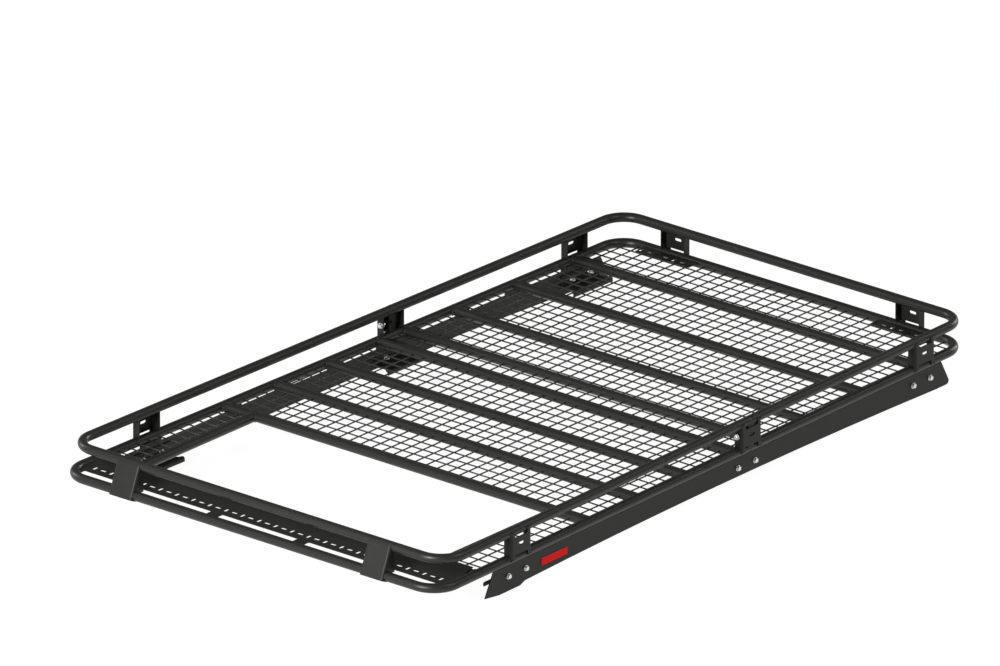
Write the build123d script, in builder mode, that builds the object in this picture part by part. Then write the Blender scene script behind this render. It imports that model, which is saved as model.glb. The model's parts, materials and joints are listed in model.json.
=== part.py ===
from build123d import *
import math
import os

# Full-length steel roof rack: two bent tube loops one above the other, joined by folded posts,
# with cross tubes and welded mesh in the lower loop, a sunroof opening at the front and a hanging
# side plate with bolted feet down each side.
# Millimetres, +Z up, front towards -Y. The origin is on the ground, under the middle of the rack.

# Overall sizes
overall_length = 2392.0
front_half_width = 682.0
rear_half_width = 628.0
ride_height = 97.0
rail_rise = 78.0
front_rail_setback = 32.0

# Tube and sheet stock
tube_diameter = 28.0
tube_wall = 2.0
bend_radius = 75.0
sheet = 3.0
slotted_sheet = 2.0
fold_radius = 4.0
weld_gap = 0.15

# Stations as shares of the overall length, rearwards from the middle
cross_tube_shares = (-0.2140, -0.1225, -0.0322, 0.0593, 0.1055, 0.1910, 0.2998, 0.4054)
post_shares = {"front": -0.3455, "middle": 0.0829, "rear": 0.4100}
foot_shares = {"front": -0.3421, "middle": 0.0846, "rear": 0.4152}

# Sunroof opening
front_cross_setback = 165.0
cutout_side_gap = 119.0

# Welded wire mesh; bay shifts are shares of the pitch
wire = 4.5
mesh_pitch = 40.0
mesh_offset_x = 9.0
mesh_edge_margin = 7.0
bay_shifts = (0.0, 0.0, -0.05, 0.35, 0.25, -0.30, 0.50, 0.20)

# Posts between the two loops
post_width = 88.0
post_depth = 27.0
post_notch_width = 56.0
post_notch_height = 13.0
post_slot_length = 24.0
post_slot_width = 9.0
post_slot_height = 43.0
rear_post_x = 430.0

# Joint of the two halves, inside the middle posts
joint_bar_width = 26.0
joint_bar_depth = 18.0
joint_bolt_inset = 18.0
joint_hole_diameter = 9.0

# Leaning brackets at the front
bracket_x = 457.0
bracket_width = 84.0
bracket_depth = 60.0
bracket_skirt = 16.0

# Side plates, set out from the front tube and from the rear tube
plate_inset = 6.0
plate_nose_back = 213.0
plate_nose_lift = 8.0
plate_top_back = 254.0
plate_heel_back = 276.0
plate_heel_length = 92.0
plate_heel_step = 22.0
plate_heel_lift = 8.5
plate_arch_rise = 19.0
plate_arch_share = 0.0168
plate_arch_ahead = 119.0
plate_tail_ahead = 56.0
plate_top_ahead = 101.0
plate_tail_radius = 10.0
plate_slit_depth = 7.0
plate_slits = (
    (-0.3736, 61.0),
    (-0.2659, 275.0),
    (-0.1516, 152.0),
    (-0.0649, 152.0),
    (0.0218, 152.0),
    (0.1629, 150.0),
    (0.2504, 152.0),
    (0.3438, 184.0),
    (0.4430, 42.0),
)

# Feet bolted inside the side plates
foot_length = 166.0
foot_thickness = 4.0
foot_flange = 50.0
foot_lip = 10.0
foot_top_drop = 34.0
foot_bottom_drop = 73.0
foot_bite_radius = 17.0
bolt_drop = 53.0
bolt_spacing = 77.0
bolt_hole_diameter = 9.0

# Folded plate behind the front tube
light_plate_level = 3.0
light_plate_front = 45.0
light_plate_fold = 100.0
light_plate_overlap = 8.0
light_row = 76.0
light_row_margin = 40.0
light_tab_width = 40.0
light_tab_x = 157.0
light_tab_end = 20.0

# Small perforated plates at the rear posts
tie_plate_width = 196.0
tie_plate_depth = 44.0
tie_row = 26.0

# Slots shared by the perforated plates
perf_pitch = 30.0
perf_length = 20.0
perf_width = 8.5

# Worked out from the sizes above
tube_radius = tube_diameter / 2
lean = math.degrees(math.atan2(front_rail_setback, rail_rise))
bracket_height = math.hypot(front_rail_setback, rail_rise)
bracket_reach = (
    (tube_radius + sheet) * math.cos(math.radians(lean))
    + bracket_skirt * math.sin(math.radians(lean))
)
front_y = -overall_length / 2 + bracket_reach
rear_y = overall_length / 2 - tube_radius - sheet
rail_height = ride_height + rail_rise
front_rail_y = front_y + front_rail_setback
front_cross_y = front_y + front_cross_setback
taper = math.degrees(math.atan2(front_half_width - rear_half_width, rear_y - front_y))
cross_tube_stations = tuple(share * overall_length for share in cross_tube_shares)
post_stations = {place: share * overall_length for place, share in post_shares.items()}
foot_stations = {place: share * overall_length for place, share in foot_shares.items()}
loop_joint_y = post_stations["middle"]
up = Vector(0, 0, 1)
forward = Vector(0, -1, 0)

os.makedirs("parts", exist_ok=True)


def half_width(y):
    """Distance from the middle of the rack to the centre of the side tube at station y."""
    share = (y - front_y) / (rear_y - front_y)
    return front_half_width + (rear_half_width - front_half_width) * share


def outward(side):
    """Horizontal direction that points away from the rack, square to the tapered side tube."""
    return Vector(side * math.cos(math.radians(taper)), math.sin(math.radians(taper)), 0)


def along(side):
    """Direction of the side tube, rearwards."""
    return Vector(-side * math.sin(math.radians(taper)), math.cos(math.radians(taper)), 0)


def side_centre(side, y):
    """Centre of the lower side tube at station y."""
    return Vector(side * half_width(y), y, ride_height)


def save(body, name):
    """Label a finished piece and write it to its own file."""
    body.label = name
    export_step(body, "parts/" + name + ".step")


def half_loop(end_y, height):
    """Bent tube that makes one end of a loop, from the weld on one side round to the other."""
    joint_half = half_width(loop_joint_y)
    end_half = half_width(end_y)
    with BuildPart() as tube:
        with BuildLine() as path:
            FilletPolyline(
                (-joint_half, loop_joint_y, height),
                (-end_half, end_y, height),
                (end_half, end_y, height),
                (joint_half, loop_joint_y, height),
                radius=bend_radius,
            )
        with BuildSketch(Plane(origin=path.line @ 0, z_dir=path.line % 0)):
            Circle(tube_radius)
            Circle(tube_radius - tube_wall, mode=Mode.SUBTRACT)
        sweep(path=path.line)
    return tube.part


def cross_tube(y):
    """Straight tube across the lower loop, coped to the side tubes at both ends."""
    reach = half_width(y)
    with BuildPart() as tube:
        with BuildSketch(Plane.YZ.offset(-reach)):
            with Locations((y, ride_height)):
                Circle(tube_radius)
                Circle(tube_radius - tube_wall, mode=Mode.SUBTRACT)
        extrude(amount=2 * reach)
        for side in (-1, 1):
            with BuildSketch(Plane(origin=side_centre(side, y), z_dir=along(side))):
                Circle(tube_radius + weld_gap)
            extrude(amount=tube_diameter, both=True, mode=Mode.SUBTRACT)
    return tube.part


def cutout_x():
    """Distance from the middle of the rack to the tubes beside the sunroof opening."""
    return half_width(cross_tube_stations[0]) - cutout_side_gap


def cutout_tube(side):
    """Tube along one side of the sunroof opening, coped to the cross tubes at both ends."""
    rear_end = cross_tube_stations[0]
    front_point = Vector(side * cutout_x(), front_cross_y, ride_height)
    rear_point = Vector(side * cutout_x(), rear_end, ride_height)
    with BuildPart() as tube:
        with BuildSketch(Plane(origin=front_point, z_dir=(0, 1, 0))):
            Circle(tube_radius)
            Circle(tube_radius - tube_wall, mode=Mode.SUBTRACT)
        extrude(amount=rear_end - front_cross_y)
        for point in (front_point, rear_point):
            with BuildSketch(Plane(origin=point, z_dir=(1, 0, 0))):
                Circle(tube_radius + weld_gap)
            extrude(amount=tube_diameter, both=True, mode=Mode.SUBTRACT)
    return tube.part


def wire_places(low, high, middle):
    """Places of wires one pitch apart, lined up with middle, that fit between low and high."""
    first = math.ceil((low + mesh_edge_margin - middle) / mesh_pitch)
    last = math.floor((high - mesh_edge_margin - middle) / mesh_pitch)
    return [middle + mesh_pitch * index for index in range(first, last + 1)]


def mesh_panel(front, rear, left_edge, right_edge, middle_y, end_bay=False):
    """Welded wire panel: bars along the rack below, bars across it laid on top and fused."""
    low_y = front + tube_radius + weld_gap
    high_y = rear - tube_radius - weld_gap
    low_x = max(left_edge(low_y), left_edge(high_y))
    high_x = min(right_edge(low_y), right_edge(high_y))
    with BuildPart() as panel:
        with BuildSketch(Plane.XY.offset(ride_height - wire)):
            for x in wire_places(low_x, high_x, mesh_offset_x):
                with Locations((x, (low_y + high_y) / 2)):
                    Rectangle(wire, high_y - low_y)
        extrude(amount=wire)
        with BuildSketch(Plane.XY.offset(ride_height)):
            for y in wire_places(low_y, high_y, middle_y):
                with Locations(((left_edge(y) + right_edge(y)) / 2, y)):
                    Rectangle(right_edge(y) - left_edge(y), wire)
        extrude(amount=wire)
        if end_bay:
            region = inside_loop(rear, front, ride_height - wire)
            extrude(region, amount=2 * wire, dir=(0, 0, 1), mode=Mode.INTERSECT)
    return panel.part


def frame_edge(side):
    """Function that gives the inner face of a side tube at a station."""
    return lambda y: side * (half_width(y) - tube_radius / math.cos(math.radians(taper)) - weld_gap)


def cutout_edge(side):
    """Function that gives the outer face of a sunroof opening tube at a station."""
    return lambda y: side * (cutout_x() + tube_radius + weld_gap)


def inside_loop(end_y, far_y, height):
    """Sketch of the space inside one end of the lower loop, clear of its bent corners."""
    clear = tube_radius + weld_gap
    side_clear = clear / math.cos(math.radians(taper))
    near_y = end_y + math.copysign(clear, far_y - end_y)
    near_x = half_width(near_y) - side_clear
    far_x = half_width(far_y) - side_clear
    with BuildSketch(Plane.XY.offset(height)) as region:
        with BuildLine():
            Polyline((-far_x, far_y), (-near_x, near_y), (near_x, near_y), (far_x, far_y), close=True)
        make_face()
        corners = region.vertices().sort_by(lambda vertex: abs(vertex.Y - near_y))[:2]
        fillet(corners, radius=bend_radius - clear)
    return region.sketch


def stand_plane(centre, out, rise):
    """Plane at a tube centre with X along the tube, Y away from the rack and Z up the post."""
    return Plane(origin=centre, x_dir=out.cross(rise), z_dir=rise)


def channel(stand, width, depth, height, skirt=0.0):
    """Folded channel with its web outside two tubes and its flanges coped round them."""
    tube_plane = Plane(origin=stand.origin, x_dir=stand.y_dir, z_dir=stand.x_dir)
    outer_face = tube_radius + sheet
    with BuildPart() as body:
        with BuildSketch(stand.offset(-skirt)) as section:
            with Locations((0, outer_face - depth / 2)):
                Rectangle(width, depth)
            fillet(section.vertices().group_by(Axis.Y)[-1], radius=fold_radius + sheet)
            with Locations((0, outer_face - sheet - depth / 2)):
                Rectangle(width - 2 * sheet, depth, mode=Mode.SUBTRACT)
            inner_corners = section.vertices().filter_by_position(
                Axis.Y, outer_face - sheet, outer_face - sheet
            ).filter_by_position(Axis.X, sheet - width / 2, width / 2 - sheet)
            fillet(inner_corners, radius=fold_radius)
        extrude(amount=height + skirt)
        with BuildSketch(tube_plane):
            with Locations((0, 0), (0, height)):
                Circle(tube_radius + weld_gap)
        extrude(amount=width, both=True, mode=Mode.SUBTRACT)
    return body.part


def post(stand):
    """Post between the loops: a channel with a slot, and notches that leave weld tabs.

    Flanges are also coped where a cross tube meets the side tube beside them.
    """
    web_plane = Plane(origin=stand.origin, x_dir=stand.x_dir * -1, z_dir=stand.y_dir)
    with BuildPart() as body:
        add(channel(stand, post_width, post_depth, rail_rise))
        with BuildSketch(web_plane.offset(tube_radius)):
            with Locations((0, 0), (0, rail_rise)):
                Rectangle(post_notch_width, 2 * post_notch_height)
            with Locations((0, post_slot_height)):
                SlotOverall(post_slot_length, post_slot_width)
        extrude(amount=2 * sheet, mode=Mode.SUBTRACT)
        with BuildSketch(Plane.YZ):
            for station in cross_tube_stations:
                with Locations((station, ride_height)):
                    Circle(tube_radius + weld_gap)
        extrude(amount=abs(stand.origin.X), both=True, mode=Mode.SUBTRACT)
    return body.part


def joint_post(stand):
    """Middle post, where the two halves of the rack meet: an upright bar backs the slot.

    The front flange has a hole for the bolt that holds the halves together.
    """
    tube_plane = Plane(origin=stand.origin, x_dir=stand.y_dir, z_dir=stand.x_dir)
    bolt_out = tube_radius + sheet - joint_bolt_inset
    bolt_place = stand.origin + stand.y_dir * bolt_out + up * post_slot_height
    with BuildPart() as body:
        with BuildSketch(stand):
            with Locations((0, tube_radius - joint_bar_depth / 2)):
                Rectangle(joint_bar_width, joint_bar_depth)
        extrude(amount=rail_rise)
        with BuildSketch(tube_plane):
            with Locations((0, 0), (0, rail_rise)):
                Circle(tube_radius + weld_gap)
        extrude(amount=joint_bar_width, both=True, mode=Mode.SUBTRACT)
        add(post(stand))
        with BuildSketch(Plane(origin=bolt_place, z_dir=forward)):
            Circle(joint_hole_diameter / 2)
        extrude(amount=post_width, mode=Mode.SUBTRACT)
    return body.part


def front_bracket(side):
    """Leaning bracket: a channel hooked over the front tube, its flanks cut off plumb behind."""
    rise = Vector(0, math.sin(math.radians(lean)), math.cos(math.radians(lean)))
    out = Vector(0, -math.cos(math.radians(lean)), math.sin(math.radians(lean)))
    centre = Vector(side * bracket_x, front_y, ride_height)
    stand = stand_plane(centre, out, rise)
    flank_bottom = light_plate_level + slotted_sheet / 2 + weld_gap
    with BuildPart() as body:
        add(channel(stand, bracket_width, bracket_depth, bracket_height, bracket_skirt))
        with BuildSketch(Plane(origin=centre, x_dir=(0, 1, 0), z_dir=(1, 0, 0))):
            with Locations((front_rail_setback, rail_rise)):
                Rectangle(bracket_height, 2 * bracket_height, align=(Align.MIN, Align.CENTER))
            with Locations((0, flank_bottom)):
                Rectangle(bracket_height, bracket_height, align=(Align.MIN, Align.MAX))
        extrude(amount=bracket_width, both=True, mode=Mode.SUBTRACT)
    return body.part


def side_plate():
    """Right-hand hanging plate, with weld tabs along the tube and an arched lower edge."""
    lower = -ride_height
    plane = Plane(
        origin=side_centre(1, 0) - outward(1) * (plate_inset + sheet / 2),
        x_dir=along(1),
        z_dir=outward(1),
    )
    inner_offset = plate_inset - sheet / 2
    top = -math.sqrt(tube_radius ** 2 - inner_offset ** 2) - weld_gap
    heel_front = front_y + plate_heel_back
    heel_rear = heel_front + plate_heel_length
    arch_start = (heel_rear + plate_heel_step, lower + plate_heel_lift)
    arch_peak = (plate_arch_share * overall_length, lower + plate_arch_rise)
    arch_end = (rear_y - plate_arch_ahead, lower)
    with BuildPart() as plate:
        with BuildSketch(plane) as outline:
            with BuildLine():
                Polyline(
                    arch_end,
                    (rear_y - plate_tail_ahead, lower),
                    (rear_y - plate_top_ahead, top),
                    (front_y + plate_top_back, top),
                    (front_y + plate_nose_back, lower + plate_nose_lift),
                    (heel_front, lower),
                    (heel_rear, lower),
                    arch_start,
                )
                ThreePointArc(arch_start, arch_peak, arch_end)
            make_face()
            fillet(outline.vertices().sort_by(Axis.X)[-1], radius=plate_tail_radius)
            for share, length in plate_slits:
                with Locations((share * overall_length, top)):
                    Rectangle(length, 2 * plate_slit_depth, mode=Mode.SUBTRACT)
            for station in cross_tube_stations:
                with Locations((station, 0)):
                    Circle(tube_radius + weld_gap, mode=Mode.SUBTRACT)
            for station in foot_stations.values():
                for shift in (-bolt_spacing / 2, bolt_spacing / 2):
                    with Locations((station + shift, -bolt_drop)):
                        Circle(bolt_hole_diameter / 2, mode=Mode.SUBTRACT)
        extrude(amount=sheet)
    return plate.part


def foot(station):
    """Right-hand foot: an angle bolted inside the side plate, its flange hooked at both ends."""
    face = -plate_inset - sheet / 2
    section_plane = Plane(
        origin=side_centre(1, station) - along(1) * (foot_length / 2),
        x_dir=outward(1),
        z_dir=along(1) * -1,
    )
    bolt_plane = Plane(origin=side_centre(1, station), x_dir=along(1), z_dir=outward(1))
    flange_plane = Plane(
        origin=side_centre(1, station) - up * (foot_bottom_drop - foot_thickness / 2),
        x_dir=along(1),
        z_dir=up,
    )
    bite_middle = foot_flange / 2 - face
    with BuildPart() as body:
        with BuildSketch(section_plane):
            with BuildLine():
                FilletPolyline(
                    (face - foot_thickness / 2, -foot_top_drop),
                    (face - foot_thickness / 2, foot_thickness / 2 - foot_bottom_drop),
                    (face - foot_flange, foot_thickness / 2 - foot_bottom_drop),
                    (face - foot_flange, -foot_bottom_drop - foot_lip),
                    radius=fold_radius,
                )
            trace(line_width=foot_thickness)
        extrude(amount=-foot_length)
        with BuildSketch(bolt_plane.offset(face)):
            with Locations((-bolt_spacing / 2, -bolt_drop), (bolt_spacing / 2, -bolt_drop)):
                Circle(bolt_hole_diameter / 2)
        extrude(amount=-2 * foot_thickness, mode=Mode.SUBTRACT)
        with BuildSketch(flange_plane):
            with Locations((-foot_length / 2, bite_middle), (foot_length / 2, bite_middle)):
                Circle(foot_bite_radius)
        extrude(amount=foot_thickness, both=True, mode=Mode.SUBTRACT)
    return body.part


def light_plate():
    """Folded plate behind the front tube: slotted strip with weld tabs, rising to the cross tube."""
    bottom = light_plate_level - slotted_sheet / 2
    seat = tube_radius + weld_gap
    run = front_cross_setback - light_plate_fold
    climb = math.asin(seat / math.hypot(run, bottom)) - math.atan2(bottom, run)
    fold_y = front_y + light_plate_fold
    rear_edge = front_cross_y + light_plate_overlap
    rear_rise = (rear_edge - fold_y) * math.tan(climb)
    strip_front = front_y + light_plate_front
    count = int((front_half_width - light_row_margin) / perf_pitch)
    end_tab = front_half_width - light_tab_end
    tabs = (-end_tab, -bracket_x, -light_tab_x, light_tab_x, bracket_x, end_tab)
    with BuildPart() as plate:
        with BuildSketch(Plane.YZ):
            with BuildLine():
                Polyline(
                    (front_y, bottom + ride_height),
                    (fold_y, bottom + ride_height),
                    (rear_edge, bottom + ride_height + rear_rise),
                    (rear_edge, bottom + ride_height + rear_rise + slotted_sheet),
                    (fold_y, bottom + ride_height + slotted_sheet),
                    (front_y, bottom + ride_height + slotted_sheet),
                    close=True,
                )
            make_face()
        extrude(amount=front_half_width, both=True)
        region = inside_loop(front_y, front_cross_y + tube_diameter, ride_height)
        extrude(region, amount=tube_diameter + sheet, dir=(0, 0, 1), mode=Mode.INTERSECT)
        with BuildSketch(Plane.XY.offset(ride_height)) as cuts:
            for left, right in zip(tabs, tabs[1:]):
                with Locations(((left + right) / 2, (front_y + strip_front) / 2)):
                    Rectangle(right - left - light_tab_width, strip_front - front_y)
            fillet(cuts.vertices().group_by(Axis.Y)[-1], radius=fold_radius)
            for index in range(-count, count + 1):
                with Locations((index * perf_pitch, front_y + light_row)):
                    SlotOverall(perf_length, perf_width, rotation=90 * (index % 2))
        extrude(amount=tube_diameter, mode=Mode.SUBTRACT)
    return plate.part


def tie_plate(side):
    """Small slotted plate that stiffens the rear tube under a rear post."""
    bottom = wire + weld_gap
    rear_edge = rear_y - math.sqrt(tube_radius ** 2 - bottom ** 2) - weld_gap
    count = int(tie_plate_width / 2 / perf_pitch)
    with BuildPart() as plate:
        with BuildSketch(Plane.XY.offset(ride_height + bottom)):
            with Locations((side * rear_post_x, rear_edge - tie_plate_depth / 2)):
                Rectangle(tie_plate_width, tie_plate_depth)
            for index in range(-count, count + 1):
                with Locations((side * rear_post_x + index * perf_pitch, rear_edge - tie_row)):
                    SlotOverall(perf_length, perf_width, rotation=90 * (index % 2), mode=Mode.SUBTRACT)
        extrude(amount=slotted_sheet)
    return plate.part


def mirrored(right_part):
    """Left-hand twin of a right-hand piece."""
    with BuildPart() as twin:
        mirror(right_part, about=Plane.YZ)
    return twin.part


sides = {"left": -1, "right": 1}

# Tube loops, each welded from a front and a rear half
save(half_loop(front_y, ride_height), "lower_frame_front")
save(half_loop(rear_y, ride_height), "lower_frame_rear")
save(half_loop(front_rail_y, rail_height), "upper_rail_front")
save(half_loop(rear_y, rail_height), "upper_rail_rear")

# Cross tubes, from the front
save(cross_tube(front_cross_y), "cross_tube_front")
for number, station in enumerate(cross_tube_stations, start=1):
    save(cross_tube(station), f"cross_tube_{number}")
for name, side in sides.items():
    save(cutout_tube(side), f"cutout_tube_{name}")

# Mesh in the bays behind the sunroof opening and beside it
bay_ends = cross_tube_stations + (rear_y,)
for number, shift in enumerate(bay_shifts, start=1):
    front = bay_ends[number - 1]
    rear = bay_ends[number]
    middle = (front + rear) / 2 + shift * mesh_pitch
    save(
        mesh_panel(front, rear, frame_edge(-1), frame_edge(1), middle, rear == rear_y),
        f"mesh_bay_{number}",
    )
strip_middle = (front_cross_y + cross_tube_stations[0]) / 2
save(
    mesh_panel(front_cross_y, cross_tube_stations[0], frame_edge(-1), cutout_edge(-1), strip_middle),
    "mesh_strip_left",
)
save(
    mesh_panel(front_cross_y, cross_tube_stations[0], cutout_edge(1), frame_edge(1), strip_middle),
    "mesh_strip_right",
)

# Posts, brackets and plates
post_makers = {"front": post, "middle": joint_post, "rear": post}
for place, station in post_stations.items():
    for name, side in sides.items():
        stand = stand_plane(side_centre(side, station), outward(side), up)
        save(post_makers[place](stand), f"post_{place}_{name}")
for name, side in sides.items():
    rear_stand = stand_plane(Vector(side * rear_post_x, rear_y, ride_height), forward * -1, up)
    save(post(rear_stand), f"post_tail_{name}")
    save(front_bracket(side), f"front_bracket_{name}")
    save(tie_plate(side), f"tie_plate_{name}")
save(light_plate(), "front_light_plate")

# Side plates and the feet bolted to them
right_plate = side_plate()
save(right_plate, "side_plate_right")
save(mirrored(right_plate), "side_plate_left")
for place, station in foot_stations.items():
    right_foot = foot(station)
    save(right_foot, f"foot_{place}_right")
    save(mirrored(right_foot), f"foot_{place}_left")
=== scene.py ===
"""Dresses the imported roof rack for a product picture: mesh, welds, fasteners, finishes and light."""
import json
import logging
import math
from dataclasses import dataclass, field
from enum import Enum
from typing import Any, Callable

import bmesh
import bpy
from mathutils import Matrix, Vector


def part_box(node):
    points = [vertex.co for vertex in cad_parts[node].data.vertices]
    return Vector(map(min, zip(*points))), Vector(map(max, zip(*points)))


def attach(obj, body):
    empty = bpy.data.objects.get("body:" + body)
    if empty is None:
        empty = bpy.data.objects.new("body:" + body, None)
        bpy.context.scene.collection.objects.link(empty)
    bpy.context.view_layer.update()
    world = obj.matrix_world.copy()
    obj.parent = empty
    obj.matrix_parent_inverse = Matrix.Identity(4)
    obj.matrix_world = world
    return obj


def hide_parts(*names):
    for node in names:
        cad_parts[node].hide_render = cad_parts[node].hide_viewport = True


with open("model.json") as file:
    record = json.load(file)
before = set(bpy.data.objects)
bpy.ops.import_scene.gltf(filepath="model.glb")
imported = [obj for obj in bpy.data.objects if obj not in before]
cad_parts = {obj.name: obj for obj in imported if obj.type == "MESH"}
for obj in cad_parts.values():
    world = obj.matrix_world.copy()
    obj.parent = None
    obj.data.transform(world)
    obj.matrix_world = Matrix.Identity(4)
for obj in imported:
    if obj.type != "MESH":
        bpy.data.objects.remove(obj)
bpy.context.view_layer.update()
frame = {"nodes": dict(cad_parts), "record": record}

log = logging.getLogger("roof_rack")
UP = Vector((0, 0, 1))
MM_PER_M = 1000
# A Mix node's colour sockets share their names with its other kinds of socket, so they go by place
MIX_COLOUR_A, MIX_COLOUR_B, MIX_RESULT = 6, 7, 2


class Side(Enum):
    """The two long sides of the rack."""

    LEFT = -1
    RIGHT = 1

    @property
    def word(self) -> str:
        """The side's name, as node names end with it."""
        return self.name.lower()


class Fitting(Enum):
    """Pieces that stand at the same three places along each side."""

    POST = "post"
    FOOT = "foot"


class Place(Enum):
    """Places of the posts and feet along a side, from the front."""

    FRONT = "front"
    MIDDLE = "middle"
    REAR = "rear"


class Slot(str, Enum):
    """Material slots of the record."""

    TUBE = "black_tube"
    PLATE = "black_plate"
    MESH = "black_mesh"
    ZINC = "zinc_steel"
    RED = "red_plate"


def linear(code: str) -> tuple[float, float, float, float]:
    """Turn an sRGB hex colour into the linear colour that shaders take, by the sRGB curve.

    Args:
        code: colour as written in a paint chart, such as "#303030".

    Returns:
        Linear red, green and blue with an alpha of 1.
    """
    parts = [int(code[i:i + 2], 16) / 255 for i in (1, 3, 5)]
    values = [p / 12.92 if p <= 0.04045 else ((p + 0.055) / 1.055) ** 2.4 for p in parts]
    return values[0], values[1], values[2], 1.0


def add_node(
    tree: bpy.types.NodeTree, kind: str, inputs: dict[str | int, Any] | None = None, **settings: str
) -> bpy.types.Node:
    """Add a shader node with its settings and links.

    Args:
        tree: node tree that takes the node.
        kind: node type without its "ShaderNode" prefix.
        inputs: names or places of inputs, each with a value to set or a socket to link.
        settings: properties of the node, such as its operation.

    Returns:
        The new node.
    """
    node = tree.nodes.new("ShaderNode" + kind)
    for name, value in settings.items():
        setattr(node, name, value)
    for key, value in (inputs or {}).items():
        if isinstance(value, bpy.types.NodeSocket):
            tree.links.new(value, node.inputs[key])
        else:
            node.inputs[key].default_value = value
    return node


def empty_tree(owner: bpy.types.Material | bpy.types.World) -> bpy.types.NodeTree:
    """Give a new material or world an empty node tree.

    Args:
        owner: the material or world.

    Returns:
        Its node tree, with no nodes.
    """
    owner.use_nodes = True
    owner.node_tree.nodes.clear()
    return owner.node_tree


def add_object(name: str, data: bpy.types.ID) -> bpy.types.Object:
    """Add an object to the scene.

    Args:
        name: name of the object.
        data: its mesh, curve, lamp or camera.

    Returns:
        The new object.
    """
    made = bpy.data.objects.new(name, data)
    bpy.context.scene.collection.objects.link(made)
    return made


@dataclass(frozen=True)
class Finish:
    """A surface finish, shown by one procedural material.

    Attributes:
        label: name of the real finish.
        colour: main colour as sRGB hex.
        shade: second colour, which broad soft patches drift towards.
        roughness: roughness of the surface.
        grain_mm: size of the fine texture.
        grain_height_mm: height of the fine texture.
        metal: whether the surface is bare metal.
        patch_mm: size of the broad patches.
        roughness_drift: how far the grain moves the roughness up and down.
        specular: strength of the mirror reflection; 0.5 is that of plain lacquer.
        patch_detail: octaves of the broad patches.
        grain_detail: octaves of the fine texture.
    """

    label: str
    colour: str
    shade: str
    roughness: float
    grain_mm: float
    grain_height_mm: float
    metal: bool = False
    patch_mm: float = 90.0
    roughness_drift: float = 0.06
    specular: float = 0.30
    patch_detail: float = 3.0
    grain_detail: float = 2.0

    def material(self) -> bpy.types.Material:
        """Build the material.

        Returns:
            A node material on Object coordinates, with the rack's real millimetres as its scale.
        """
        made = bpy.data.materials.new(self.label)
        tree = empty_tree(made)
        place = add_node(tree, "TexCoord").outputs["Object"]
        # Broad patches keep large plain faces from looking flat and dead
        patch = add_node(
            tree,
            "TexNoise",
            {"Vector": place, "Scale": MM_PER_M / self.patch_mm, "Detail": self.patch_detail},
        )
        tint = add_node(
            tree,
            "Mix",
            {
                "Factor": patch.outputs["Fac"],
                MIX_COLOUR_A: linear(self.colour),
                MIX_COLOUR_B: linear(self.shade),
            },
            data_type="RGBA",
        )
        # Fine grain is the orange peel of a coat or the dull sparkle of plating
        grain = add_node(
            tree,
            "TexNoise",
            {"Vector": place, "Scale": MM_PER_M / self.grain_mm, "Detail": self.grain_detail},
        ).outputs["Fac"]
        bump = add_node(tree, "Bump", {"Height": grain, "Distance": self.grain_height_mm / MM_PER_M})
        rough = add_node(
            tree,
            "MapRange",
            {
                "Value": grain,
                "To Min": self.roughness - self.roughness_drift,
                "To Max": self.roughness + self.roughness_drift,
            },
        )
        shader = add_node(
            tree,
            "BsdfPrincipled",
            {
                "Base Color": tint.outputs[MIX_RESULT],
                "Roughness": rough.outputs["Result"],
                "Normal": bump.outputs["Normal"],
                "Metallic": 1.0 if self.metal else 0.0,
                "Specular IOR Level": self.specular,
            },
        )
        add_node(tree, "OutputMaterial", {"Surface": shader.outputs["BSDF"]})
        return made


# The orange peel of a coat is about 1 mm across and the sparkle of zinc finer still. A pixel of the
# picture is 2.8 mm wide, so they are drawn 2 to 4 mm across, which is about as fine as can show.
FINISHES = {
    # Thick black coat on bent tube: a soft broad highlight along the tube
    Slot.TUBE: Finish("satin black powder coat on tube", "#1c1c1a", "#242421", 0.36, 3.0, 0.08),
    # The same coat on flat sheet: an even dark grey, duller than on the tube
    Slot.PLATE: Finish(
        "satin black powder coat on sheet", "#191917", "#21211e", 0.46, 3.0, 0.08, specular=0.22
    ),
    # The coat on thin wire: the same black coat as on the tube, painted a little paler as painted light for
    # the light that thin round wires catch from all sides, so that the wires still read between the tubes
    Slot.MESH: Finish("satin black powder coat on wire", "#222220", "#2a2a28", 0.42, 3.0, 0.05),
    # Bright zinc plate on fasteners: pale, with blurred reflections
    Slot.ZINC: Finish("bright zinc plate", "#e2e1dc", "#d2d2ce", 0.28, 2.0, 0.02, metal=True, specular=0.5),
    # Red enamel on the blank plate: clean, even and strong, with little shine
    Slot.RED: Finish("red enamel", "#ef0c10", "#e4090d", 0.45, 4.0, 0.01, specular=0.12),
}
MATERIALS = {slot: finish.material() for slot, finish in FINISHES.items()}


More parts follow.
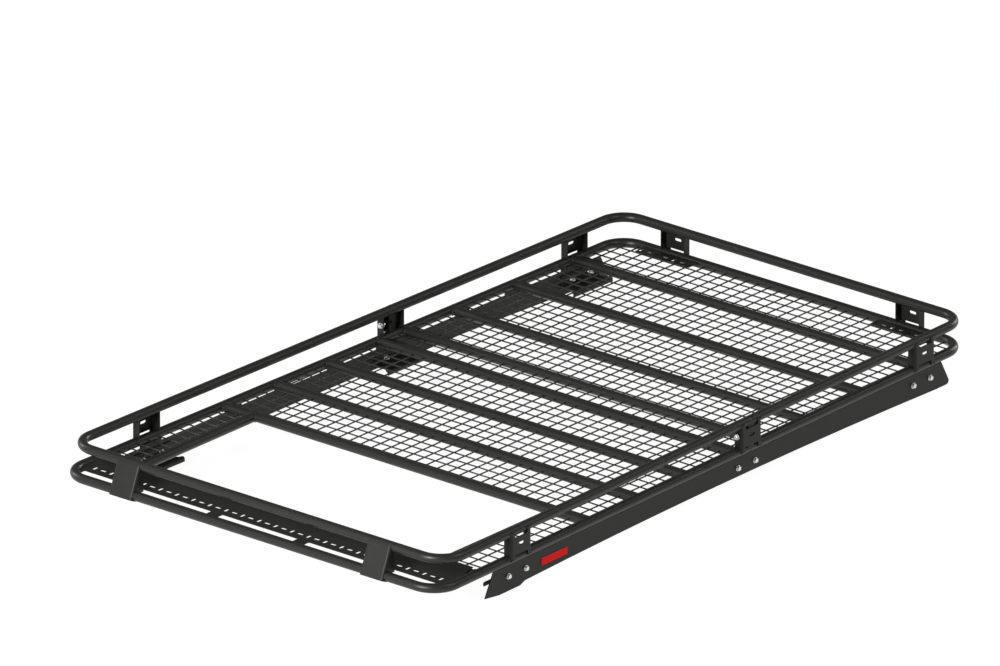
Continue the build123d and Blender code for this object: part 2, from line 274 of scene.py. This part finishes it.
@dataclass(frozen=True)
class Layout:
    """Where the rack's tubes are, in metres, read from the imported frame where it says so.

    Attributes:
        front_half_width: middle of the rack to the side tube's centre at the front.
        rear_half_width: the same at the rear.
        bend_radius: bend radius of the loops' corners at the tube centre.
        rail_rise: height of the upper rail's centre above the lower tube's.
        post_width: width of a post along the tube.
        plate_outer: distance of a side plate's outer face inside the tube's centre.
        cross_tubes: ends of the cross tubes' node names, from the front.
    """

    front_half_width: float = 0.682
    rear_half_width: float = 0.628
    bend_radius: float = 0.075
    rail_rise: float = 0.078
    post_width: float = 0.088
    plate_outer: float = 0.0045
    cross_tubes: tuple[str, ...] = ("front", "1", "2", "3", "4", "5", "6", "7", "8")

    @property
    def tube_radius(self) -> float:
        """Radius of the tubes."""
        low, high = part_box("cross_tube_1")
        return (high.z - low.z) / 2

    @property
    def ride_height(self) -> float:
        """Height of the lower tubes' centres above the ground."""
        return self.centre("cross_tube_1").z

    @property
    def front_y(self) -> float:
        """Centre of the lower front tube."""
        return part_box("lower_frame_front")[0].y + self.tube_radius

    @property
    def rear_y(self) -> float:
        """Centre of the lower rear tube."""
        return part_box("lower_frame_rear")[1].y - self.tube_radius

    @property
    def taper(self) -> float:
        """Angle of the side tubes to the rack's length, in radians."""
        return math.atan2(self.front_half_width - self.rear_half_width, self.rear_y - self.front_y)

    @property
    def middle_post_y(self) -> float:
        """Place of the middle posts, where the halves of the loops meet."""
        return self.station(Fitting.POST, Place.MIDDLE)

    def centre(self, node: str) -> Vector:
        """Give the middle of a CAD node's box.

        Args:
            node: name of the node.

        Returns:
            The middle of its box.
        """
        low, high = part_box(node)
        return (Vector(low) + Vector(high)) / 2

    def cross_station(self, name: str) -> float:
        """Give the place of a cross tube along the rack.

        Args:
            name: end of the cross tube's node name.

        Returns:
            Its centre's Y.
        """
        return self.centre("cross_tube_" + name).y

    def station(self, kind: Fitting, place: Place) -> float:
        """Give where a post or foot stands along the rack.

        Args:
            kind: post or foot.
            place: which one of its side.

        Returns:
            Its centre's Y.
        """
        return self.centre(f"{kind.value}_{place.value}_{Side.RIGHT.word}").y

    def half_width(self, y: float) -> float:
        """Give the distance from the middle to the side tube's centre.

        Args:
            y: place along the rack.

        Returns:
            The half width there.
        """
        share = (y - self.front_y) / (self.rear_y - self.front_y)
        return self.front_half_width + (self.rear_half_width - self.front_half_width) * share

    def outward(self, side: Side) -> Vector:
        """Give the direction away from the rack, square to a side tube.

        Args:
            side: side of the rack.

        Returns:
            A level unit vector.
        """
        return Vector((side.value * math.cos(self.taper), math.sin(self.taper), 0))

    def along(self, side: Side) -> Vector:
        """Give the direction of a side tube.

        Args:
            side: side of the rack.

        Returns:
            A level unit vector towards the rear.
        """
        return Vector((-side.value * math.sin(self.taper), math.cos(self.taper), 0))

    def side_centre(self, side: Side, y: float) -> Vector:
        """Give a point on the centre line of a lower side tube.

        Args:
            side: side of the rack.
            y: place along the rack.

        Returns:
            The point.
        """
        return Vector((side.value * self.half_width(y), y, self.ride_height))


def finish_piece(bm: bmesh.types.BMesh, name: str, slot: Slot, *stands_for: str) -> bpy.types.Object:
    """Make a built mesh into a piece of the rack.

    Args:
        bm: mesh in place in the rack's frame; it is freed.
        name: name of the piece.
        slot: material slot that it takes its finish from.
        stands_for: CAD nodes that it is shown in place of.

    Returns:
        The new object.
    """
    mesh = bpy.data.meshes.new(name)
    bm.to_mesh(mesh)
    bm.free()
    piece = add_object(name, mesh)
    mesh.materials.append(MATERIALS[slot])
    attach(piece, "root")
    if stands_for:
        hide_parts(*stands_for)
    return piece


def rod(bm: bmesh.types.BMesh, start: Vector, end: Vector, radius: float, sides: int) -> list:
    """Add a closed straight round bar.

    Args:
        bm: mesh that takes the bar.
        start: centre of one end.
        end: centre of the other end.
        radius: radius of the bar.
        sides: number of flats round it.

    Returns:
        The bar's vertices.
    """
    span = end - start
    turn = span.to_track_quat("Z", "Y").to_matrix().to_4x4()
    made = bmesh.ops.create_cone(
        bm,
        cap_ends=True,
        segments=sides,
        radius1=radius,
        radius2=radius,
        depth=span.length,
        matrix=Matrix.Translation((start + end) / 2) @ turn,
    )
    for vertex in made["verts"]:
        for face in vertex.link_faces:
            face.smooth = len(face.verts) == 4
    return made["verts"]


@dataclass
class WireMesh:
    """Welded square mesh in the bays of the lower loop.

    Attributes:
        layout: where the tubes are.
        wire: wire diameter.
        pitch: distance between wires.
        offset_x: place of the wires along the rack nearest the middle.
        bay_shifts: how far each bay's cross wires sit off the bay's middle, as shares of the pitch.
        edge_margin: least distance from a wire to a tube that it runs along.
        bite: how deep crossing wires are pressed into each other by the welder.
        nugget: radius of the swelling where two wires are welded.
        toe: radius of the weld where a wire meets a tube.
        sides: number of flats round a wire.
    """

    layout: Layout
    wire: float = 0.0045
    pitch: float = 0.040
    offset_x: float = 0.009
    bay_shifts: tuple[float, ...] = (0.0, 0.0, -0.05, 0.35, 0.25, -0.30, 0.50, 0.20)
    edge_margin: float = 0.007
    bite: float = 0.0009
    nugget: float = 0.0028
    toe: float = 0.0035
    sides: int = 8

    def places(self, low: float, high: float, middle: float) -> list[float]:
        """List the wires that fit between two tubes.

        Args:
            low: face of the first tube.
            high: face of the second tube.
            middle: place that the wires are lined up with.

        Returns:
            Places of the wires.
        """
        first = math.ceil((low + self.edge_margin - middle) / self.pitch)
        last = math.floor((high - self.edge_margin - middle) / self.pitch)
        return [middle + self.pitch * index for index in range(first, last + 1)]

    def corner_trim(self, offset: float) -> float:
        """Give how far a bent corner of the loop reaches in from the straight tube.

        Args:
            offset: distance past the start of the bend.

        Returns:
            Length lost by a wire that ends on the bend.
        """
        inner = self.layout.bend_radius - self.layout.tube_radius
        if offset <= 0:
            return 0.0
        return inner - math.sqrt(max(inner ** 2 - offset ** 2, 0.0))

    def weld(self, bm: bmesh.types.BMesh, place: Vector, radius: float) -> None:
        """Add a small round weld.

        Args:
            bm: mesh that takes the weld.
            place: centre of the weld.
            radius: its radius.
        """
        spot = Matrix.Translation(place)
        made = bmesh.ops.create_icosphere(bm, subdivisions=1, radius=radius, matrix=spot)
        for vertex in made["verts"]:
            for face in vertex.link_faces:
                face.smooth = True

    def panel(
        self,
        name: str,
        front: float,
        rear: float,
        left: Callable[[float], float],
        right: Callable[[float], float],
        middle_y: float,
        rounded: bool = False,
    ) -> bpy.types.Object:
        """Build the mesh of one bay.

        Args:
            name: CAD node that the panel is shown in place of.
            front: centre of the tube in front.
            rear: centre of the tube behind.
            left: gives the face of the left tube at a station.
            right: gives the face of the right tube at a station.
            middle_y: place that the cross wires are lined up with.
            rounded: whether the rear corners are the loop's bent corners.

        Returns:
            The panel.
        """
        bm = bmesh.new()
        radius = self.wire / 2
        tube = self.layout.tube_radius
        height = self.layout.ride_height
        low_y, high_y = front + tube, rear - tube
        bend = self.layout.bend_radius - tube
        long_z = height - radius + self.bite / 2
        cross_z = height + radius - self.bite / 2
        inner_x = min(-left(high_y), right(high_y))
        narrow = (max(left(low_y), left(high_y)), min(right(low_y), right(high_y)))
        xs = self.places(*narrow, self.offset_x)
        ys = self.places(low_y, high_y, middle_y)
        for x in xs:
            trim = self.corner_trim(abs(x) - (inner_x - bend)) if rounded else 0.0
            start, end = Vector((x, low_y - radius, long_z)), Vector((x, high_y + radius - trim, long_z))
            rod(bm, start, end, radius, self.sides)
            self.weld(bm, Vector((x, low_y, long_z)), self.toe)
            self.weld(bm, Vector((x, high_y - trim, long_z)), self.toe)
        for y in ys:
            trim = self.corner_trim(y - (high_y - bend)) if rounded else 0.0
            start = Vector((left(y) - radius + trim, y, cross_z))
            end = Vector((right(y) + radius - trim, y, cross_z))
            rod(bm, start, end, radius, self.sides)
            for x in (left(y) + trim, right(y) - trim):
                self.weld(bm, Vector((x, y, cross_z)), self.toe)
            for x in xs:
                if start.x < x < end.x:
                    self.weld(bm, Vector((x, y, height)), self.nugget)
        return finish_piece(bm, name.replace("mesh", "wire_mesh"), Slot.MESH, name)

    def frame_edge(self, side: Side) -> Callable[[float], float]:
        """Give the inner face of a side tube.

        Args:
            side: side of the rack.

        Returns:
            A function from a place along the rack to the face's X.
        """
        face = self.layout.tube_radius / math.cos(self.layout.taper)
        return lambda y: side.value * (self.layout.half_width(y) - face)

    def cutout_edge(self, side: Side) -> Callable[[float], float]:
        """Give the outer face of a tube beside the sunroof opening.

        Args:
            side: side of the rack.

        Returns:
            A function from a place along the rack to the face's X.
        """
        low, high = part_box("cutout_tube_" + side.word)
        return lambda y: low.x if side is Side.LEFT else high.x

    def build(self) -> list[bpy.types.Object]:
        """Build every bay behind the sunroof opening and the strips beside it.

        Returns:
            The panels.
        """
        plan = self.layout
        left, right = self.frame_edge(Side.LEFT), self.frame_edge(Side.RIGHT)
        front, *stations = [plan.cross_station(name) for name in plan.cross_tubes]
        bays = list(zip(stations, stations[1:] + [plan.rear_y], self.bay_shifts))
        panels = []
        for number, (near, far, shift) in enumerate(bays, start=1):
            middle = (near + far) / 2 + shift * self.pitch
            panels.append(
                self.panel(f"mesh_bay_{number}", near, far, left, right, middle, rounded=number == len(bays))
            )
        rear = stations[0]
        middle = (front + rear) / 2
        for name, edges in (
            ("mesh_strip_left", (left, self.cutout_edge(Side.LEFT))),
            ("mesh_strip_right", (self.cutout_edge(Side.RIGHT), right)),
        ):
            panels.append(self.panel(name, front, rear, *edges, middle))
        return panels


@dataclass
class Welds:
    """Weld beads where tubes and sheet meet.

    Attributes:
        layout: where the tubes are.
        bead: radius of a bead.
        ripple: length of one ripple along a bead.
        ripple_depth: share of the radius that ripples rise and fall by.
        seam_sink: how far the dressed seams of the loops are ground into the tube.
        post_notch: width of the notches between a post's weld tabs.
        roundness: how finely a bead's section is rounded.
        paths: beads, each a row of points.
    """

    layout: Layout
    bead: float = 0.0024
    ripple: float = 0.0022
    ripple_depth: float = 0.16
    seam_sink: float = 0.0015
    post_notch: float = 0.056
    roundness: int = 1
    paths: list[list[Vector]] = field(default_factory=list)

    def ring(self, point: Callable[[float], Vector]) -> None:
        """Add a bead that runs once round a tube.

        Args:
            point: gives the bead's place for an angle in radians.
        """
        count = int(2 * math.pi * self.layout.tube_radius / self.ripple)
        self.paths.append([point(2 * math.pi * index / count) for index in range(count + 1)])

    def line(self, start: Vector, end: Vector) -> None:
        """Add a straight bead.

        Args:
            start: one end of the bead.
            end: the other end.
        """
        count = max(2, int((end - start).length / self.ripple))
        self.paths.append([start.lerp(end, index / count) for index in range(count + 1)])

    def cope(self, centre: Vector, axis: Vector) -> None:
        """Add the bead where a tube ends on the side of another tube of the same size.

        Args:
            centre: place where the two centre lines meet.
            axis: direction from there along the tube that ends.
        """
        radius = self.layout.tube_radius
        across = axis.cross(UP)

        def point(angle: float) -> Vector:
            """Give the bead's place on the saddle for an angle round the tube that ends."""
            up = radius * math.sin(angle)
            reach = math.sqrt(radius ** 2 - up ** 2)
            return centre + axis * reach + across * radius * math.cos(angle) + UP * up

        self.ring(point)

    def collect(self) -> None:
        """List every bead of the rack."""
        plan = self.layout
        ground = plan.tube_radius - self.seam_sink
        height = plan.ride_height
        for side in Side:
            for name in plan.cross_tubes:
                y = plan.cross_station(name)
                self.cope(plan.side_centre(side, y), Vector((-side.value, 0, 0)))
            low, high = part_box("cutout_tube_" + side.word)
            x = (low.x + high.x) / 2
            self.cope(Vector((x, plan.cross_station("front"), height)), Vector((0, 1, 0)))
            self.cope(Vector((x, plan.cross_station("1"), height)), Vector((0, -1, 0)))
            out = plan.outward(side)
            for rise in (0.0, plan.rail_rise):
                centre = plan.side_centre(side, plan.middle_post_y) + UP * rise
                self.ring(lambda a: centre + (out * math.cos(a) + UP * math.sin(a)) * ground)
            for place in Place:
                self.post(plan.side_centre(side, plan.station(Fitting.POST, place)), out, plan.along(side))
            rear = Vector((plan.centre("post_tail_" + side.word).x, plan.rear_y, height))
            self.post(rear, Vector((0, 1, 0)), Vector((1, 0, 0)))

    def post(self, centre: Vector, out: Vector, along: Vector) -> None:
        """Add the beads on the weld tabs of a post.

        Args:
            centre: centre of the lower tube at the post.
            out: direction away from the rack.
            along: direction of the tube.
        """
        face = out * (self.layout.tube_radius + self.bead / 2)
        width = self.layout.post_width
        for rise in (-self.bead / 2, self.layout.rail_rise + self.bead / 2):
            for end in (-1, 1):
                outer = centre + face + UP * rise + along * end * width / 2
                self.line(outer, outer - along * end * (width - self.post_notch) / 2)

    def build(self) -> list[bpy.types.Object]:
        """Build every bead as one rippled piece.

        Returns:
            The piece, as a list of one.
        """
        self.collect()
        curve = bpy.data.curves.new("weld beads", "CURVE")
        curve.dimensions = "3D"
        curve.bevel_depth = self.bead
        curve.bevel_resolution = self.roundness
        curve.use_fill_caps = True
        for path in self.paths:
            spline = curve.splines.new("POLY")
            spline.points.add(len(path) - 1)
            for index, (point, place) in enumerate(zip(spline.points, path)):
                point.co = (*place, 1)
                point.radius = 1 + self.ripple_depth * (-1) ** index
        holder = add_object("weld beads", curve)
        graph = bpy.context.evaluated_depsgraph_get()
        mesh = bpy.data.meshes.new_from_object(holder.evaluated_get(graph))
        bm = bmesh.new()
        bm.from_mesh(mesh)
        for face in bm.faces:
            face.smooth = True
        bpy.data.objects.remove(holder)
        bpy.data.curves.remove(curve)
        bpy.data.meshes.remove(mesh)
        return [finish_piece(bm, "weld_beads", Slot.TUBE)]


@dataclass
class Bolts:
    """Bolts that hold the feet inside the side plates and the two halves of the rack together.

    Attributes:
        layout: where the tubes are.
        drop: distance of the plate bolts below the tube centre.
        spacing: distance between the two bolts of a foot.
        clamped: thickness of plate and foot together.
        joint_rise: height of the bolts at the middle posts above the lower tube's centre.
        joint_inset: distance of those bolts inside the lower tube's centre.
        sheet: thickness of a post's flange.
        washer_radius: radius of a washer.
        washer_thick: thickness of a washer.
        washer_sides: number of flats round a washer.
        head_radius: radius of a hexagon head or nut to its corners.
        head_height: height of a head or nut.
        head_sides: number of its flats.
        shank_radius: radius of the thread.
        shank_out: length of thread past the nut.
        shank_sides: number of flats round the thread.
        chamfer: width of the broken rims.
        chamfer_steps: steps round a broken rim.
    """

    layout: Layout
    drop: float = 0.053
    spacing: float = 0.077
    clamped: float = 0.007
    joint_rise: float = 0.043
    joint_inset: float = 0.001
    sheet: float = 0.003
    washer_radius: float = 0.0088
    washer_thick: float = 0.0016
    washer_sides: int = 24
    head_radius: float = 0.0073
    head_height: float = 0.0055
    head_sides: int = 6
    shank_radius: float = 0.0040
    shank_out: float = 0.0050
    shank_sides: int = 12
    chamfer: float = 0.0009
    chamfer_steps: int = 2

    def disc(
        self, bm: bmesh.types.BMesh, place: Vector, axis: Vector, height: float, radius: float, sides: int
    ) -> None:
        """Add a flat prism with its outer rim broken.

        Args:
            bm: mesh that takes the prism.
            place: centre of its seat.
            axis: direction that it stands up in.
            height: its height.
            radius: its radius to the corners.
            sides: number of sides.
        """
        vertices = rod(bm, place, place + axis * height, radius, sides)
        top = [v for v in vertices if (v.co - place).dot(axis) > height / 2]
        edges = (e for v in top for e in v.link_edges if all(end in top for end in e.verts))
        rim = list(dict.fromkeys(edges))
        bmesh.ops.bevel(
            bm,
            geom=rim,
            offset=min(self.chamfer, height / 2),
            segments=self.chamfer_steps,
            profile=0.5,
            affect="EDGES",
            material=-1,
        )

    def bolt(self, bm: bmesh.types.BMesh, seat: Vector, axis: Vector, clamped: float) -> None:
        """Add a bolt with its nut and two washers.

        Args:
            bm: mesh that takes the bolt.
            seat: middle of the hole on the head's side.
            axis: direction that the head faces.
            clamped: thickness between the two washers.
        """
        back = seat - axis * clamped
        for place, way in ((seat, axis), (back, -axis)):
            on_washer = place + way * self.washer_thick
            self.disc(bm, place, way, self.washer_thick, self.washer_radius, self.washer_sides)
            self.disc(bm, on_washer, way, self.head_height, self.head_radius, self.head_sides)
        length = clamped + self.washer_thick + self.head_height + self.shank_out
        self.disc(bm, seat, -axis, length, self.shank_radius, self.shank_sides)

    def build(self) -> list[bpy.types.Object]:
        """Build the bolts of each side as one piece.

        Returns:
            The two pieces.
        """
        plan = self.layout
        pieces = []
        for side in Side:
            bm = bmesh.new()
            out, along = plan.outward(side), plan.along(side)
            for place in Place:
                station = plan.station(Fitting.FOOT, place)
                for shift in (-self.spacing / 2, self.spacing / 2):
                    hole = plan.side_centre(side, station) + along * shift - UP * self.drop
                    self.bolt(bm, hole - out * plan.plate_outer, out, self.clamped)
            flange = plan.side_centre(side, plan.middle_post_y) - along * plan.post_width / 2
            self.bolt(bm, flange - out * self.joint_inset + UP * self.joint_rise, -along, self.sheet)
            pieces.append(finish_piece(bm, f"bolts_{side.word}", Slot.ZINC))
        return pieces


@dataclass
class BlankPlate:
    """Plain red plate on the outer face of the right-hand side plate.

    Attributes:
        layout: where the tubes are.
        station: its middle along the rack.
        drop: its middle below the tube centre.
        length: its length.
        height: its height.
        thick: its thickness.
        corner: radius of its corners.
        corner_steps: steps round a corner.
    """

    layout: Layout
    station: float = -0.6565
    drop: float = 0.0565
    length: float = 0.115
    height: float = 0.0225
    thick: float = 0.0015
    corner: float = 0.003
    corner_steps: int = 4

    def build(self) -> list[bpy.types.Object]:
        """Build the plate.

        Returns:
            The plate, as a list of one.
        """
        plan = self.layout
        side = Side.RIGHT
        out, along = plan.outward(side), plan.along(side)
        middle = plan.side_centre(side, self.station) - UP * self.drop
        middle -= out * (plan.plate_outer - self.thick / 2)
        turn = Matrix((along, UP, out)).transposed().to_4x4()
        size = Matrix.Diagonal((self.length, self.height, self.thick, 1))
        bm = bmesh.new()
        bmesh.ops.create_cube(bm, size=1, matrix=Matrix.Translation(middle) @ turn @ size)
        corners = [e for e in bm.edges if abs((e.verts[0].co - e.verts[1].co).dot(out)) > self.thick / 2]
        bmesh.ops.bevel(
            bm,
            geom=corners,
            offset=self.corner,
            segments=self.corner_steps,
            profile=0.5,
            affect="EDGES",
            material=-1,
        )
        return [finish_piece(bm, "blank_red_plate", Slot.RED)]


def direction(azimuth: float, elevation: float) -> Vector:
    """Give the direction from the rack towards a viewer or a lamp.

    Args:
        azimuth: degrees round from the front.
        elevation: degrees above the horizon.

    Returns:
        A unit vector.
    """
    a, e = math.radians(azimuth), math.radians(elevation)
    return Vector((math.sin(a) * math.cos(e), -math.cos(a) * math.cos(e), math.sin(e)))


@dataclass(frozen=True)
class Lamp:
    """A large soft lamp that faces the rack.

    Attributes:
        name: name of the lamp.
        azimuth: degrees round from the front.
        elevation: degrees above the horizon.
        distance: distance from the rack.
        size: width and height of the lamp.
        power: power in watts.
    """

    name: str
    azimuth: float
    elevation: float
    distance: float
    size: float
    power: float

    def hang(self) -> None:
        """Hang the lamp in the scene."""
        data = bpy.data.lights.new(self.name, "AREA")
        data.shape = "SQUARE"
        data.size = self.size
        data.energy = self.power
        towards = direction(self.azimuth, self.elevation)
        lamp = add_object(self.name, data)
        lamp.location = towards * self.distance
        lamp.rotation_euler = towards.to_track_quat("Z", "Y").to_euler()


@dataclass
class Studio:
    """White floor, soft light and the camera of a product picture.

    Attributes:
        layout: where the tubes are.
        photo_size: width and height of the picture in pixels.
        metres_per_pixel: scale of the picture at the rack.
        middle_pixel: where the middle of the rack's lower loop is seen in the picture.
        azimuth: direction that the camera stands in, in degrees from the front.
        elevation: height of the camera above the horizon, in degrees.
        lens: focal length in millimetres; a long one keeps parallel lines parallel.
        sensor: sensor width in millimetres.
        floor_size: length of the floor's sides.
        floor_colour: colour of the floor where it is lit.
        floor_glow: share of the floor that is its own white; the rest takes light and shadow.
        floor_strength: strength of that white, which makes up for the dimmer rest.
        light_colour: colour of the surrounding light.
        world_strength: strength of the light from all round.
        sky_mirrored: share of the white above that shows in reflections, which keeps top faces dark.
        lamps: the lamps.
    """

    layout: Layout
    photo_size: tuple[int, int] = (1000, 666)
    metres_per_pixel: float = 0.002795
    middle_pixel: tuple[float, float] = (523.3, 411.0)
    azimuth: float = 40.12
    elevation: float = 21.81
    lens: float = 1130.0
    sensor: float = 36.0
    floor_size: float = 120.0
    floor_colour: str = "#f4f4f4"
    floor_glow: float = 0.85
    floor_strength: float = 1.10
    light_colour: str = "#ffffff"
    world_strength: float = 0.14
    sky_mirrored: float = 0.06
    lamps: tuple[Lamp, ...] = (
        Lamp("key", azimuth=0, elevation=22, distance=9.0, size=3.5, power=1050),
        Lamp("fill", azimuth=105, elevation=45, distance=6.0, size=2.5, power=80),
        Lamp("left", azimuth=285, elevation=20, distance=9.0, size=3.5, power=240),
        Lamp("rear", azimuth=170, elevation=15, distance=9.0, size=3.5, power=240),
    )

    def camera(self) -> None:
        """Place the camera so that the rack stands in the picture as it does in the photograph."""
        back = direction(self.azimuth, self.elevation)
        right = UP.cross(back).normalized()
        above = back.cross(right)
        plan = self.layout
        middle = Vector((0, (plan.front_y + plan.rear_y) / 2, plan.ride_height))
        width, height = self.photo_size
        aside = (self.middle_pixel[0] - width / 2) * self.metres_per_pixel
        below = (self.middle_pixel[1] - height / 2) * self.metres_per_pixel
        aim = middle - right * aside + above * below
        data = bpy.data.cameras.new("camera")
        data.lens = self.lens
        data.sensor_width = self.sensor
        distance = width * self.metres_per_pixel * self.lens / self.sensor
        data.clip_end = 2 * distance
        eye = add_object("camera", data)
        eye.location = aim + back * distance
        eye.rotation_euler = (-back).to_track_quat("-Z", "Y").to_euler()
        bpy.context.scene.camera = eye

    def seen(self, tree: bpy.types.NodeTree, mirrored: float) -> bpy.types.NodeSocket:
        """Add nodes that are 1 for what the viewer sees directly.

        Args:
            tree: node tree that takes the nodes.
            mirrored: value for what shows in metal or through glass.

        Returns:
            The socket with that value.
        """
        path = add_node(tree, "LightPath").outputs
        mirror = add_node(
            tree, "Math", {0: path["Is Glossy Ray"], 1: path["Is Transmission Ray"]}, operation="MAXIMUM"
        )
        dimmed = add_node(tree, "Math", {0: mirror.outputs["Value"], 1: mirrored}, operation="MULTIPLY")
        either = add_node(
            tree, "Math", {0: path["Is Camera Ray"], 1: dimmed.outputs["Value"]}, operation="MAXIMUM"
        )
        return either.outputs["Value"]

    def floor(self) -> None:
        """Lay a white floor that keeps a faint soft shadow."""
        bm = bmesh.new()
        bmesh.ops.create_grid(bm, x_segments=1, y_segments=1, size=self.floor_size / 2)
        mesh = bpy.data.meshes.new("floor")
        bm.to_mesh(mesh)
        bm.free()
        made = bpy.data.materials.new("white studio floor")
        tree = empty_tree(made)
        matt = add_node(tree, "BsdfDiffuse", {"Color": linear(self.floor_colour)})
        glow = add_node(
            tree, "Emission", {"Color": linear(self.light_colour), "Strength": self.floor_strength}
        )
        share = add_node(tree, "Math", {0: self.seen(tree, 1.0), 1: self.floor_glow}, operation="MULTIPLY")
        mix = add_node(
            tree,
            "MixShader",
            {0: share.outputs["Value"], 1: matt.outputs["BSDF"], 2: glow.outputs["Emission"]},
        )
        add_node(tree, "OutputMaterial", {"Surface": mix.outputs["Shader"]})
        mesh.materials.append(made)
        add_object("floor", mesh)

    def world(self) -> None:
        """Surround the rack with white that lights it softly."""
        made = bpy.data.worlds.new("white studio")
        tree = empty_tree(made)
        colour = linear(self.light_colour)
        light = add_node(tree, "Background", {"Color": colour, "Strength": self.world_strength})
        white = add_node(tree, "Background", {"Color": colour, "Strength": 1.0})
        mix = add_node(
            tree,
            "MixShader",
            {
                0: self.seen(tree, self.sky_mirrored),
                1: light.outputs["Background"],
                2: white.outputs["Background"],
            },
        )
        add_node(tree, "OutputWorld", {"Surface": mix.outputs["Shader"]})
        bpy.context.scene.world = made

    def build(self) -> None:
        """Set up floor, light and camera."""
        self.floor()
        self.world()
        for lamp in self.lamps:
            lamp.hang()
        self.camera()
        bpy.context.scene.view_settings.view_transform = "Standard"


def coat_frame() -> None:
    """Give each CAD node the finish of its slot in the record."""
    for part in frame["record"]["subparts"]:
        node = frame["nodes"][part["node"]]
        node.data.materials.clear()
        node.data.materials.append(MATERIALS[Slot(part["material_slot"])])


def main() -> None:
    """Build the dressed rack and report its pieces."""
    logging.basicConfig(level=logging.INFO, format="%(message)s")
    layout = Layout()
    coat_frame()
    for assembly in (WireMesh(layout), Welds(layout), Bolts(layout), BlankPlate(layout)):
        for piece in assembly.build():
            log.info("%s: %d faces", piece.name, len(piece.data.polygons))
    Studio(layout).build()


if __name__ == "__main__":
    main()
